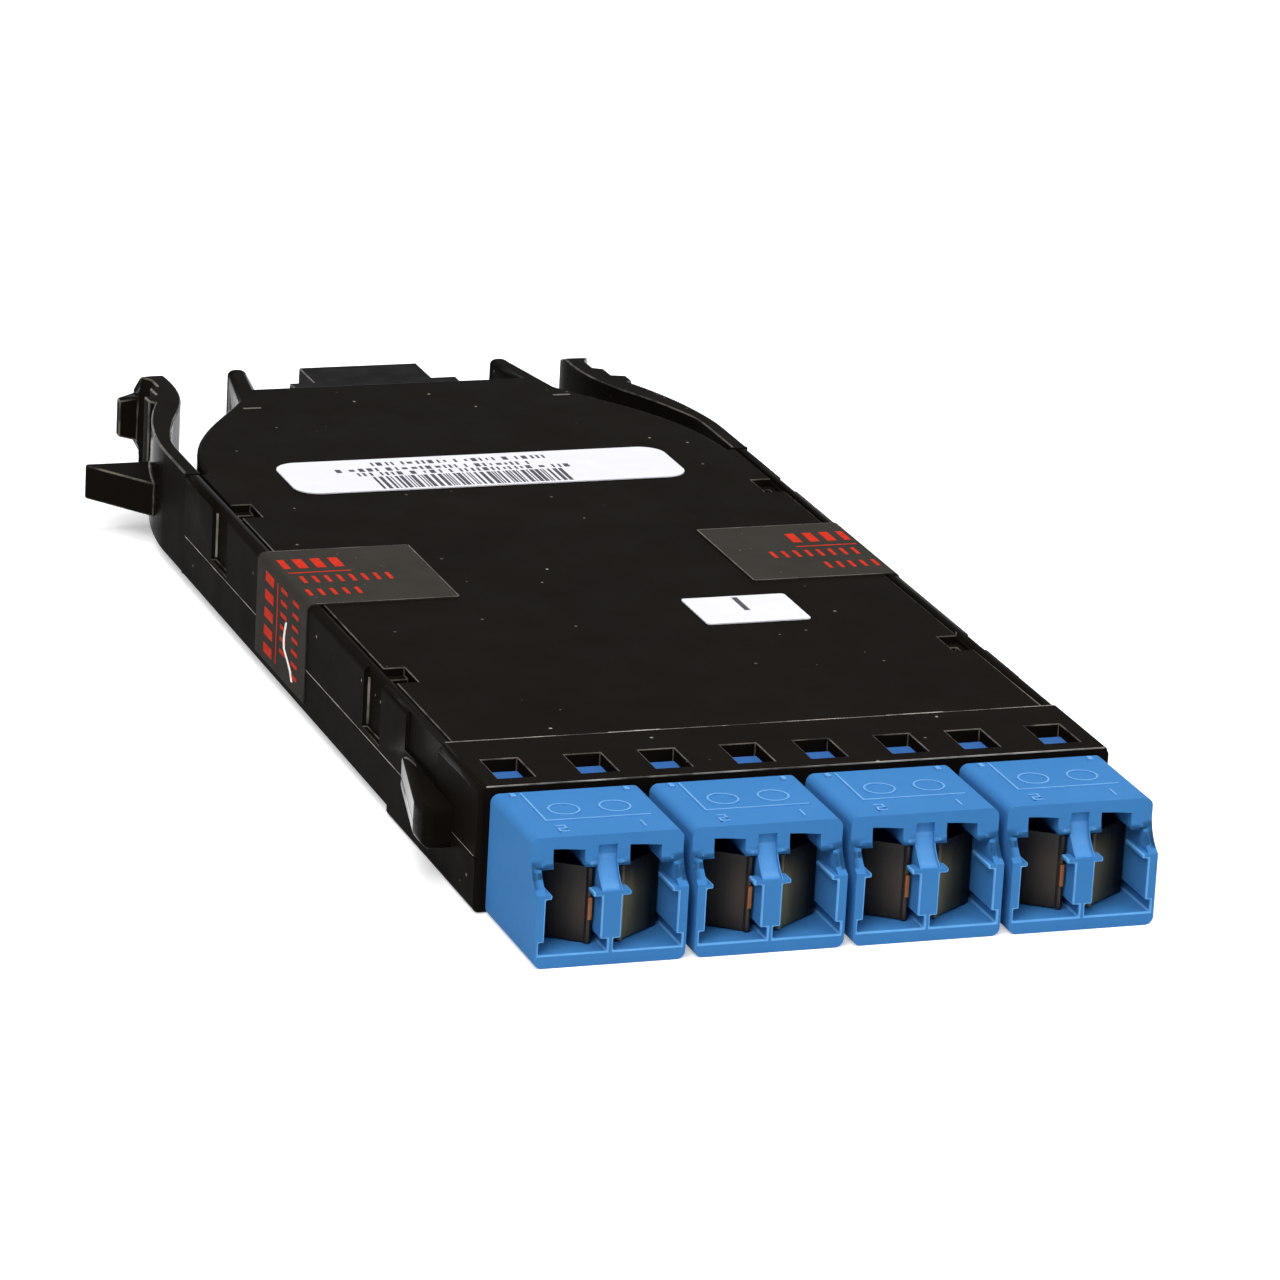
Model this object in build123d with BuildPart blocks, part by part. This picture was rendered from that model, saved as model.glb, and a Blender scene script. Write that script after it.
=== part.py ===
from build123d import *
import os
from math import cos, radians, sin

# A flat high-density fibre cassette, in millimetres. X runs across the cassette, Y from
# the front edge of the cover to the rear, and Z up from the underside of the front foot.
# The shapes are drawn from the middle of the front edge. At export they move along Y, so
# that the origin lies under the middle of the whole length.

# Sides of the small round rods and pins, which are drawn as even polygons
SMALL_SIDES = 8

# Housing
SIDE_MARGIN = 0.45
BODY_L = 111.7
TAPER_L = 25.7
PLATE_Z = 10.35
BAND_L = 10.8
BAND_RISE = 0.3
BAND_INSET = 0.35
SEAM_Z = 4.6
SEAM_LINE = 0.15
FOOT_L = 23.5
FOOT_RISE = 1.0
FOOT_FLOOR = 0.6
WALL = 1.2
EDGE_R = 0.5
CORNER_R = 0.5
REAR_HALF_W = 12.9
HORN_L = 6.8
HORN_TIP_W = 1.8
HORN_LEAN = 0.8
HORN_ROUND = 1.1
HORN_BASE_OUT = 2.6
HORN_BASE_L = 3.4
SHOULDER_IN = 1.85
SHOULDER_MID = (5.15, 12.5)

# Clip grooves, notches and pockets along the sides
CLIP_W = 4.8
CLIP_DEPTH = 0.5
CLIP_SILL = 0.5
NOTCH_W = 1.95
NOTCH_L = 3.8
NOTCH_DEPTH = 0.7
NOTCH_IN = 3.2
NOTCH_BACK = 0.3
NOTCH_HOLE = (1.4, 1.8)
CLIP_FRONT_Y = 28.6
CLIP_REAR_L = 11.4
BEAD_W = 1.2
BEAD_GAP = 0.35
BEAD_GAP_DEPTH = 0.4
POCKET_Y = 15.1
POCKET_L = 8.6
POCKET_Z = 7.1
POCKET_DEPTH = 0.35

# Front stop lugs
LUG_OUT = 2.3
LUG_FRONT_Y = 6.4
LUG_FLAT = 3.0
LUG_REAR_Y = 20.0
LUG_Z = 3.1
LUG_H = 3.7

# Windows over the adapters' snaps
WINDOW_W = 3.05
WINDOW_L = 4.5
WINDOW_Y = 3.9
WINDOW_PITCH = 6.95
SNAP_W = 2.4
SNAP_L = 2.0

# Duplex adapters
ADAPTER_COUNT = 4
ADAPTER_PITCH = 13.15
ADAPTER_W = 12.4
ADAPTER_TOP = 10.1
ADAPTER_FRONT = 12.4
ADAPTER_SETBACK = 1.7
ADAPTER_GAP = 0.3
ADAPTER_R = 0.7
LEDGE_Z = 6.0
CURVE_TOP_Z = 8.4
TAIL_W = 11.5
TAIL_L = 8.4
TAIL_CLEAR = 0.15
PORT_PITCH = 6.25
PORT_W = 4.56
PORT_FLOOR = 1.1
PORT_SHOULDER = 7.55
PORT_TOP = 9.05
LATCH_SLOT_W = 2.6
CHANNEL_Z = 2.1
CHANNEL_OUT = 0.45
WEB_W = 0.5
TOOTH_T = 0.4
TOOTH_OUTER = 0.5
TOOTH_INNER = 0.7
TOOTH_L = 3.7
TOOTH_INNER_L = 1.4
STRIP_DEPTH = 0.3
STRIP_TOP = 9.25
PARTITION_Y = -1.5
PARTITION_T = 1.2
AXIS_Z = 3.35
SOCKET_W = 4.4
STRIP_W = 1.54
SLEEVE_R = 1.45
SLEEVE_BORE = 0.8
SLEEVE_L = 1.2

# Shutter leaves behind each port
LEAF_T = 0.2
LEAF_L = 4.75
LEAF_ANGLE = 35.0
LEAF_PIN_R = 0.3
LEAF_SETBACK = 1.9
LEAF_CLEAR = 0.15

# Latch levers: how far the arm runs straight, how far its faces bow inward, and its end
LEVER_GAP = 0.35
LEVER_ROOT_W = 1.35
LEVER_STRAIGHT = 5.5
LEVER_FLAT = 8.0
ARM_L = 23.0
ARM_END_IN = 3.55
OUTER_BOW = (0.8, 13.85)
INNER_BOW = ((2.05, 12.0), (3.4, 16.3), (5.45, 21.3), (6.75, 27.0))
TIP_IN = 4.85
TIP_W = 1.7
RIB_L = (1.7, 2.3, 2.3)
RIB_IN = (3.05, 4.35, 5.25)
RIB_SLOPE = 0.5
END_SLOPE = 1.35
END_L = 2.2
END_TOP = 9.95
END_BOTTOM = 1.3
END_DROP = 0.7
END_CORNER = (1.05, 1.9)
BARB_L = 7.7
BARB_TO_TIP = 16.0
BARB_OUT = 4.25
BARB_TIP = 0.5
BARB_ROOT = 0.9
BARB_DEPTH = 2.95
BARB_Z = 2.7
BARB_H = 3.2
PAD_OUT = 1.75
PAD_SINK = 0.6
PAD_L = 2.0
PAD_Z = 3.4
PAD_H = 4.5
PAD_TAPER = 12.0

# Multi-fibre adapter and its plug
MPO_W = 11.65
MPO_TOP = 9.3
MPO_BOTTOM = 2.1
THROAT_W = 11.2
THROAT_H = 6.4
MPO_OUT = 9.6
MPO_FLANGE_W = 16.4
MPO_FLANGE_L = 4.6
MPO_INNER_L = 13.7
MPO_PORT_W = 9.4
MPO_PORT_H = 5.0
MPO_PORT_L = 9.0
MPO_KEY_W = 3.0
MPO_KEY_H = 0.9
MPO_CLEAR = 0.15
MPO_PLUG_W = 7.8
MPO_PLUG_H = 4.4
MPO_PLUG_L = 12.0
MPO_PLUG_IN = 14.7
FERRULE_W = 6.4
FERRULE_H = 2.5
FERRULE_OUT = 4.0
MPO_BOOT_L = 6.0
MPO_BOOT_W = 7.0
MPO_BOOT_H = 4.0

# Inner plugs and fibres
PLUG_W = 4.2
PLUG_L = 11.0
PLUG_SETBACK = 0.2
BOOT_R = 1.3
BOOT_L = 6.5
FIBRE_R = 0.36
FIBRE_SIDES = 6
FIBRE_STEP = 0.85
FIBRE_Z = 4.2
FIBRE_LEAD = 12.5
FIBRE_TAIL = 16.0
FIBRE_BEND_R = 18.0

# Labels and seals
FILM = 0.1
REAR_LABEL = (36.9, 9.4)
REAR_LABEL_R = 2.2
REAR_LABEL_L = 3.2
PORT_LABEL = (9.4, 7.0)
PORT_LABEL_R = 0.4
PORT_LABEL_X = 9.9
PORT_LABEL_BACK = 46.0
TAPE_W = 14.9
TAPE_IN = 13.3
TAPE_BACK = 31.2
TAPE_BOTTOM = 1.6

BODY_W = ADAPTER_COUNT * ADAPTER_PITCH + 2 * SIDE_MARGIN
HALF_W = BODY_W / 2
ROOT_Y = BODY_L - TAPER_L
TAPE_Y = ROOT_Y - TAPE_BACK
PORT_LABEL_Y = ROOT_Y - PORT_LABEL_BACK
CLIP_Y = (CLIP_FRONT_Y, ROOT_Y - CLIP_REAR_L)
BAND_Z = PLATE_Z + BAND_RISE
ROOF_Z = PLATE_Z - WALL
BEAD_X = HALF_W - BEAD_W
FLOOR_Z = FOOT_RISE + WALL
LEVER_Y = ROOT_Y + LEVER_GAP
LEVER_L = ARM_L + sum(RIB_L) + len(RIB_L) * RIB_SLOPE + END_SLOPE + END_L
LEVER_TIP_Y = LEVER_Y + LEVER_L
BARB_Y = LEVER_TIP_Y - BARB_TO_TIP
MPO_MID_Z = (MPO_TOP + MPO_BOTTOM) / 2
MPO_Y = BODY_L + MPO_CLEAR
MPO_REAR_Y = BODY_L + MPO_OUT
MPO_FLANGE_Y = BODY_L + MPO_FLANGE_L
MPO_INNER_Y = BODY_L - MPO_INNER_L
MPO_PLUG_Y = BODY_L - MPO_PLUG_IN
LEAF_Y = LEAF_SETBACK - ADAPTER_FRONT
TO_ORIGIN = Location((0, (ADAPTER_FRONT - MPO_REAR_Y) / 2, 0))


def adapter_x(index):
    """Middle of one duplex adapter, counted from the left."""
    return (index - (ADAPTER_COUNT - 1) / 2) * ADAPTER_PITCH


def housing_outline():
    """Plan of the housing: straight sides, curved shoulders and two rear horns."""
    shoulder_x = HALF_W - SHOULDER_IN
    base = (REAR_HALF_W + HORN_BASE_OUT, BODY_L - HORN_BASE_L)
    tip_y = BODY_L + HORN_L
    tip_x = REAR_HALF_W - HORN_LEAN
    with BuildSketch() as plan:
        with BuildLine():
            front = Line((0, 0), (HALF_W, 0))
            side = Line(front @ 1, (HALF_W, ROOT_Y))
            wall_end = Line(side @ 1, (shoulder_x, ROOT_Y))
            shoulder = Spline(
                wall_end @ 1,
                (HALF_W - SHOULDER_MID[0], ROOT_Y + SHOULDER_MID[1]),
                base,
                tangents=[(-0.05, 1), (-0.6, 1)],
            )
            horn_out = Line(shoulder @ 1, (tip_x + HORN_TIP_W, tip_y - HORN_ROUND))
            horn_tip = ThreePointArc(
                horn_out @ 1,
                (tip_x + HORN_TIP_W / 2, tip_y),
                (tip_x, tip_y - HORN_ROUND),
            )
            horn_in = Line(horn_tip @ 1, (REAR_HALF_W, BODY_L))
            rear = Line(horn_in @ 1, (0, BODY_L))
            mirror(about=Plane.YZ)
        make_face()
    return plan.sketch


def cavity_outline(front_y):
    """Plan of the space inside the walls."""
    with BuildSketch() as plan:
        half = HALF_W - WALL
        with BuildLine():
            Polyline(
                (0, front_y),
                (half, front_y),
                (half, ROOT_Y - 1.5 * WALL),
                (half - SHOULDER_IN, ROOT_Y),
                (half - SHOULDER_MID[0], ROOT_Y + SHOULDER_MID[1] - WALL),
                (REAR_HALF_W + HORN_BASE_OUT / 2, BODY_L - HORN_BASE_L - WALL),
                (REAR_HALF_W, BODY_L - WALL),
                (0, BODY_L - WALL),
            )
            mirror(about=Plane.YZ)
        make_face()
    return plan.sketch


def lug_outline(side):
    """Plan of a stop lug: a long ramp that rises forward to a flat front face."""
    with BuildSketch() as plan:
        with BuildLine():
            Polyline(
                (side * (HALF_W - WALL / 2), LUG_FRONT_Y),
                (side * (HALF_W + LUG_OUT), LUG_FRONT_Y),
                (side * (HALF_W + LUG_OUT), LUG_FRONT_Y + LUG_FLAT),
                (side * HALF_W, LUG_REAR_Y),
                (side * (HALF_W - WALL / 2), LUG_REAR_Y),
                close=True,
            )
        make_face()
    return plan.sketch


def mpo_hole(clear):
    """Section of the rear opening around the throat of the multi-fibre adapter."""
    with BuildSketch() as plan:
        with Locations((0, MPO_MID_Z)):
            Rectangle(THROAT_W + 2 * clear, THROAT_H + 2 * clear)
    return plan.sketch


HOUSING = housing_outline()
CAVITY = cavity_outline(-WALL)
MPO_HOLE = mpo_hole(MPO_CLEAR)

# Top cover: plate, upper side walls, raised front band and everything cut into them
with BuildPart() as top_cover:
    with BuildSketch(Plane.XY.offset(SEAM_Z)):
        add(HOUSING)
    extrude(amount=PLATE_Z - SEAM_Z)
    fillet(top_cover.edges().filter_by(Axis.Z).group_by(Axis.Y)[0], CORNER_R)
    fillet(top_cover.faces().sort_by(Axis.Z)[-1].edges(), EDGE_R)
    with BuildSketch(Plane.XY.offset(SEAM_Z)):
        add(CAVITY)
    extrude(amount=ROOF_Z - SEAM_Z, mode=Mode.SUBTRACT)
    with BuildSketch(Plane.XY.offset(ROOF_Z)):
        with Locations((0, BAND_L / 2)):
            Rectangle(BODY_W - 2 * BAND_INSET, BAND_L)
    extrude(amount=BAND_Z - ROOF_Z)
    fillet(top_cover.faces().sort_by(Axis.Z)[-1].edges(), BAND_RISE * 0.8)
    for side in (-1, 1):
        with BuildSketch(Plane.XY.offset(SEAM_Z)):
            add(lug_outline(side))
        extrude(amount=LUG_Z + LUG_H - SEAM_Z)
        with BuildSketch(Plane.XY.offset(PLATE_Z - BEAD_GAP_DEPTH)):
            with Locations((side * BEAD_X, (BAND_L + ROOT_Y) / 2)):
                Rectangle(BEAD_GAP, ROOT_Y - BAND_L)
        extrude(amount=BEAD_GAP_DEPTH, mode=Mode.SUBTRACT)
        with BuildSketch(Plane.XY.offset(POCKET_Z)):
            with Locations((side * HALF_W, POCKET_Y)):
                Rectangle(2 * POCKET_DEPTH, POCKET_L)
        extrude(amount=PLATE_Z - POCKET_Z, mode=Mode.SUBTRACT)
        for y in CLIP_Y:
            with BuildSketch(Plane.XY.offset(SEAM_Z + CLIP_SILL)):
                with Locations((side * HALF_W, y)):
                    Rectangle(2 * CLIP_DEPTH, CLIP_W)
            extrude(amount=PLATE_Z - SEAM_Z - CLIP_SILL, mode=Mode.SUBTRACT)
            with BuildSketch(Plane.XY.offset(PLATE_Z - NOTCH_DEPTH)):
                with Locations((side * (HALF_W - NOTCH_IN + NOTCH_W / 2), y - NOTCH_BACK)):
                    Rectangle(NOTCH_W, NOTCH_L)
            extrude(amount=NOTCH_DEPTH, mode=Mode.SUBTRACT)
            with BuildSketch(Plane.XY.offset(ROOF_Z)):
                with Locations((side * (HALF_W - NOTCH_IN + NOTCH_HOLE[0] / 2), y - NOTCH_BACK)):
                    Rectangle(*NOTCH_HOLE)
            extrude(amount=WALL, mode=Mode.SUBTRACT)
    for index in range(ADAPTER_COUNT):
        with BuildSketch(Plane.XY.offset(ROOF_Z)):
            with Locations((adapter_x(index), WINDOW_Y)):
                with GridLocations(WINDOW_PITCH, 1, 2, 1):
                    Rectangle(WINDOW_W, WINDOW_L)
        extrude(amount=WALL + BAND_RISE, mode=Mode.SUBTRACT)
    with BuildSketch(Plane.XZ.offset(-BODY_L)):
        add(MPO_HOLE)
    extrude(amount=WALL, mode=Mode.SUBTRACT)
top_cover.part.label = "top_cover"

# Bottom tray: floor with its deeper front foot, lower side walls and rear wall
with BuildPart() as bottom_tray:
    with BuildSketch(Plane.XY.offset(FOOT_RISE)):
        add(HOUSING)
    extrude(amount=SEAM_Z - FOOT_RISE)
    with BuildSketch():
        with Locations((0, FOOT_L / 2)):
            Rectangle(BODY_W, FOOT_L)
    extrude(amount=FOOT_RISE)
    fillet(bottom_tray.edges().filter_by(Axis.Z).group_by(Axis.Y)[0], CORNER_R)
    fillet(bottom_tray.faces().sort_by(Axis.Z)[0].edges(), EDGE_R)
    with BuildSketch(Plane.XY.offset(FLOOR_Z)):
        add(CAVITY)
    extrude(amount=SEAM_Z - FLOOR_Z, mode=Mode.SUBTRACT)
    with BuildSketch(Plane.XY.offset(FOOT_FLOOR)):
        with Locations((0, (FOOT_L - WALL) / 2)):
            Rectangle(BODY_W - 2 * WALL, FOOT_L - WALL)
    extrude(amount=SEAM_Z - FOOT_FLOOR, mode=Mode.SUBTRACT)
    for side in (-1, 1):
        with BuildSketch(Plane.XY.offset(LUG_Z)):
            add(lug_outline(side))
        extrude(amount=SEAM_Z - LUG_Z)
        with BuildSketch(Plane.XY.offset(SEAM_Z - SEAM_LINE)):
            with Locations((side * HALF_W, ROOT_Y / 2)):
                Rectangle(2 * SEAM_LINE, ROOT_Y)
        extrude(amount=SEAM_LINE, mode=Mode.SUBTRACT)
    with BuildSketch(Plane.XZ.offset(-BODY_L)):
        add(MPO_HOLE)
    extrude(amount=WALL, mode=Mode.SUBTRACT)
bottom_tray.part.label = "bottom_tray"


def lever_outline(side):
    """Plan of a latch lever: an arm that bows inward to a stepped, ribbed thumb end."""

    def at(inset, along):
        return (side * (HALF_W - inset), LEVER_Y + along)

    with BuildSketch() as plan:
        with BuildLine():
            outer = Spline(
                at(0, LEVER_STRAIGHT),
                at(*OUTER_BOW),
                at(ARM_END_IN, ARM_L),
                tangents=[(0, 1), (-0.42 * side, 1)],
            )
            Line(at(0, 0), outer @ 0)
            steps = [outer @ 1]
            along = ARM_L
            for inset, length in zip(RIB_IN, RIB_L):
                along += RIB_SLOPE
                steps.append(at(inset, along))
                along += length
                steps.append(at(inset, along))
            steps.append(at(TIP_IN - PAD_SINK / 2, LEVER_L - END_L))
            steps.append(at(TIP_IN - PAD_SINK / 2, LEVER_L))
            steps.append(at(TIP_IN + TIP_W, LEVER_L))
            ribs = Polyline(*steps)
            inner = Spline(
                ribs @ 1,
                at(*INNER_BOW[3]),
                at(*INNER_BOW[2]),
                at(*INNER_BOW[1]),
                at(*INNER_BOW[0]),
                at(LEVER_ROOT_W, LEVER_STRAIGHT),
                tangents=[(-0.15 * side, -1), (0, -1)],
            )
            Line(inner @ 1, at(LEVER_ROOT_W, 0))
            Line(at(LEVER_ROOT_W, 0), at(0, 0))
        make_face()
    return plan.sketch


def lever_profile():
    """Side view of a latch lever: full height at the root, lower towards its end."""
    with BuildSketch() as plan:
        with BuildLine():
            Polyline(
                (LEVER_Y, FOOT_RISE),
                (LEVER_Y, PLATE_Z),
                (LEVER_Y + LEVER_FLAT, PLATE_Z),
                (LEVER_TIP_Y - END_L, END_TOP),
                (LEVER_TIP_Y, END_TOP - END_DROP),
                (LEVER_TIP_Y, END_BOTTOM + END_DROP),
                (LEVER_TIP_Y - END_L, END_BOTTOM),
                (LEVER_Y + LEVER_FLAT, FOOT_RISE),
                close=True,
            )
        make_face()
    return plan.sketch


def make_lever(side, label):
    """One latch lever with its outward barb and thumb pad."""
    out = HALF_W - TIP_IN + PAD_SINK / 2
    with BuildPart() as lever:
        with BuildSketch(Plane.XY.offset(FOOT_RISE)):
            add(lever_outline(side))
        extrude(amount=PLATE_Z - FOOT_RISE)
        with BuildSketch(Plane.YZ.offset(-HALF_W)):
            add(lever_profile())
        extrude(amount=BODY_W, mode=Mode.INTERSECT)
        for rim, turn in ((END_TOP, -1), (END_BOTTOM, 1)):
            with BuildSketch(Plane.XZ.offset(-LEVER_TIP_Y)):
                with BuildLine():
                    Polyline(
                        (side * out, rim),
                        (side * (out - END_CORNER[0]), rim),
                        (side * out, rim + turn * END_CORNER[1]),
                        close=True,
                    )
                make_face()
            extrude(amount=END_L, mode=Mode.SUBTRACT)
        with BuildSketch(Plane.XY.offset(BARB_Z)):
            with BuildLine():
                Polyline(
                    (side * (HALF_W - BARB_DEPTH), BARB_Y),
                    (side * (HALF_W + BARB_OUT), BARB_Y),
                    (side * (HALF_W + BARB_OUT), BARB_Y - BARB_TIP),
                    (side * (HALF_W - BARB_ROOT), BARB_Y - BARB_L),
                    (side * (HALF_W - BARB_ROOT - BARB_TIP), BARB_Y - BARB_L),
                    close=True,
                )
            make_face()
        extrude(amount=BARB_H)
        with BuildSketch(Plane.YZ.offset(side * (out - PAD_SINK))):
            with Locations((LEVER_TIP_Y - PAD_L / 2, PAD_Z + PAD_H / 2)):
                Rectangle(PAD_L, PAD_H)
        extrude(amount=side * (PAD_OUT + PAD_SINK), taper=PAD_TAPER)
    lever.part.label = label
    return lever.part


latch_lever_left = make_lever(-1, "latch_lever_left")
latch_lever_right = make_lever(1, "latch_lever_right")


def port_outline(side):
    """Front section of one port. The side says which way its outer wall lies."""
    with BuildSketch() as plan:
        half = PORT_W / 2
        slot = LATCH_SLOT_W / 2
        inner = PORT_PITCH / 2 - WEB_W / 2
        with BuildLine():
            Polyline(
                (side * (half + CHANNEL_OUT), PORT_FLOOR),
                (side * (half + CHANNEL_OUT), CHANNEL_Z),
                (side * half, CHANNEL_Z),
                (side * half, PORT_SHOULDER),
                (side * slot, PORT_SHOULDER),
                (side * slot, PORT_TOP),
                (-side * slot, PORT_TOP),
                (-side * slot, PORT_SHOULDER),
                (-side * half, PORT_SHOULDER),
                (-side * half, CHANNEL_Z),
                (-side * inner, CHANNEL_Z),
                (-side * inner, PORT_FLOOR),
                close=True,
            )
        make_face()
    return plan.sketch


def face_curve(shift):
    """Side view of what is cut away above the ledge, moved back by a shift."""
    with BuildSketch() as plan:
        front = -ADAPTER_FRONT
        upper = front + ADAPTER_SETBACK + shift
        with BuildLine():
            curve = ThreePointArc(
                (front + shift, LEDGE_Z),
                (front + shift + 0.68 * ADAPTER_SETBACK, 0.58 * LEDGE_Z + 0.42 * CURVE_TOP_Z),
                (upper, CURVE_TOP_Z),
            )
            Polyline(
                curve @ 1,
                (upper, ADAPTER_TOP + 1),
                (front - 1, ADAPTER_TOP + 1),
                (front - 1, LEDGE_Z),
                curve @ 0,
            )
        make_face()
    return plan.sketch


def make_adapter(index):
    """One duplex adapter: stepped ports under a face that sweeps forward to a ledge."""
    x = adapter_x(index)
    half = PORT_W / 2
    tail_z = FOOT_FLOOR + TAIL_CLEAR
    tail_h = ROOF_Z - TAIL_CLEAR - tail_z
    socket_y = PARTITION_Y + PARTITION_T
    with BuildPart() as adapter:
        with BuildSketch(Plane.XZ.offset(ADAPTER_GAP)):
            with Locations((x, ADAPTER_TOP / 2)):
                RectangleRounded(ADAPTER_W, ADAPTER_TOP, ADAPTER_R)
        extrude(amount=ADAPTER_FRONT - ADAPTER_GAP)
        with BuildSketch(Plane.YZ.offset(x - ADAPTER_W)):
            add(face_curve(0))
        extrude(amount=2 * ADAPTER_W, mode=Mode.SUBTRACT)
        with BuildSketch(Plane.YZ.offset(x - STRIP_W / 2)):
            add(face_curve(STRIP_DEPTH))
            with Locations((-ADAPTER_FRONT / 2, STRIP_TOP)):
                Rectangle(
                    2 * ADAPTER_FRONT,
                    ADAPTER_TOP,
                    align=(Align.CENTER, Align.MIN),
                    mode=Mode.SUBTRACT,
                )
        extrude(amount=STRIP_W, mode=Mode.SUBTRACT)
        with BuildSketch(Plane.XZ.offset(ADAPTER_GAP)):
            with Locations((x, tail_z + tail_h / 2)):
                Rectangle(TAIL_W, tail_h)
        extrude(amount=-TAIL_L - ADAPTER_GAP)
        with BuildSketch(Plane.XY.offset(ROOF_Z - TAIL_CLEAR)):
            with Locations((x, WINDOW_Y - WINDOW_L / 2 + SNAP_L / 2 + TAIL_CLEAR)):
                with GridLocations(WINDOW_PITCH, 1, 2, 1):
                    Rectangle(SNAP_W, SNAP_L)
        extrude(amount=WALL / 2)
        for side in (-1, 1):
            port = x + side * PORT_PITCH / 2
            with BuildSketch(Plane.XZ.offset(ADAPTER_FRONT)):
                with Locations((port, 0)):
                    add(port_outline(side))
            extrude(amount=-ADAPTER_FRONT - PARTITION_Y, mode=Mode.SUBTRACT)
            with BuildSketch(Plane.XZ.offset(-TAIL_L)):
                with Locations((port, AXIS_Z)):
                    Rectangle(SOCKET_W, SOCKET_W)
            extrude(amount=TAIL_L - socket_y, mode=Mode.SUBTRACT)
            with BuildSketch(Plane.XZ.offset(-socket_y)):
                with Locations((port, AXIS_Z)):
                    RegularPolygon(SLEEVE_R, SMALL_SIDES)
            extrude(amount=PARTITION_T + SLEEVE_L)
            with BuildSketch(Plane.XZ.offset(-socket_y)):
                with Locations((port, AXIS_Z)):
                    Circle(SLEEVE_BORE)
            extrude(amount=PARTITION_T + SLEEVE_L, mode=Mode.SUBTRACT)
            with BuildSketch(Plane.XZ.offset(ADAPTER_FRONT)):
                with Locations((port + side * half, LEDGE_Z - TOOTH_T / 2)):
                    Rectangle(2 * TOOTH_OUTER, TOOTH_T)
            extrude(amount=-TOOTH_L)
            with BuildSketch(Plane.XZ.offset(ADAPTER_FRONT)):
                with Locations((port - side * half, LEDGE_Z - TOOTH_T / 2)):
                    Rectangle(2 * TOOTH_INNER, TOOTH_T)
            extrude(amount=-TOOTH_INNER_L)
    adapter.part.label = f"lc_adapter_{index + 1}"
    return adapter.part


def make_leaf(index, side, label):
    """One sprung shutter leaf, standing across its port on an upright pin."""
    port = adapter_x(index) + side * PORT_PITCH / 2
    pin_x = port - side * (PORT_W / 2 - LEAF_PIN_R - LEAF_CLEAR)
    low = PORT_FLOOR + LEAF_CLEAR
    height = PORT_SHOULDER - PORT_FLOOR - 2 * LEAF_CLEAR
    across = side * cos(radians(LEAF_ANGLE))
    deep = sin(radians(LEAF_ANGLE))
    with BuildPart() as leaf:
        with BuildSketch(Plane(origin=(pin_x, LEAF_Y, low), x_dir=(across, deep, 0))):
            RegularPolygon(LEAF_PIN_R, SMALL_SIDES)
            with Locations((LEAF_L / 2, 0)):
                Rectangle(LEAF_L, LEAF_T)
        extrude(amount=height)
    leaf.part.label = label
    return leaf.part


def make_plug(index, side, label):
    """One inner plug with its boot, seated in the back of an adapter."""
    port = adapter_x(index) + side * PORT_PITCH / 2
    start = PARTITION_Y + PARTITION_T + PLUG_SETBACK
    with BuildPart() as plug:
        with BuildSketch(Plane.XZ.offset(-start)):
            with Locations((port, AXIS_Z)):
                Rectangle(PLUG_W, PLUG_W)
        extrude(amount=-PLUG_L)
        with BuildSketch(Plane.XZ.offset(-start - PLUG_L)):
            with Locations((port, AXIS_Z)):
                RegularPolygon(BOOT_R, SMALL_SIDES)
        extrude(amount=-BOOT_L)
    plug.part.label = label
    return plug.part


def make_fibre(number, start_x):
    """One fibre from an inner plug's boot to the multi-fibre plug's boot."""
    count = 2 * ADAPTER_COUNT
    end_x = (number - (count - 1) / 2) * FIBRE_STEP
    start_y = PARTITION_Y + PARTITION_T + PLUG_SETBACK + PLUG_L + BOOT_L
    end_y = MPO_PLUG_Y - MPO_BOOT_L
    with BuildPart() as fibre:
        with BuildLine(Plane.XY.offset(FIBRE_Z)) as path:
            FilletPolyline(
                (start_x, start_y),
                (start_x, start_y + FIBRE_LEAD),
                (end_x, end_y - FIBRE_TAIL),
                (end_x, end_y),
                radius=FIBRE_BEND_R,
            )
        with BuildSketch(Plane.XZ.offset(-start_y)):
            with Locations((start_x, FIBRE_Z)):
                RegularPolygon(FIBRE_R, FIBRE_SIDES)
        sweep(path=path.line)
    return fibre.part


def make_tape(side, label):
    """A seal strip over the plate's edge and down the side wall."""
    drop = PLATE_Z - TAPE_BOTTOM
    with BuildPart() as tape:
        with BuildSketch(Plane.XZ.offset(-TAPE_Y - TAPE_W / 2)):
            with Locations((0, TAPE_BOTTOM)):
                RectangleRounded(BODY_W + 2 * FILM, 2 * (drop + FILM), EDGE_R + FILM)
                RectangleRounded(BODY_W, 2 * drop, EDGE_R, mode=Mode.SUBTRACT)
            with Locations((side * HALF_W, TAPE_BOTTOM + drop / 2 + FILM)):
                Rectangle(2 * TAPE_IN, drop + 2 * FILM, mode=Mode.INTERSECT)
        extrude(amount=TAPE_W)
    tape.part.label = label
    return tape.part


adapters = [make_adapter(index) for index in range(ADAPTER_COUNT)]
leaves = []
plugs = []
fibres = []
for index in range(ADAPTER_COUNT):
    for side in (-1, 1):
        number = len(plugs)
        leaves.append(make_leaf(index, side, f"shutter_leaf_{number + 1}"))
        plugs.append(make_plug(index, side, f"inner_plug_{number + 1}"))
        fibres.append(make_fibre(number, adapter_x(index) + side * PORT_PITCH / 2))

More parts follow.
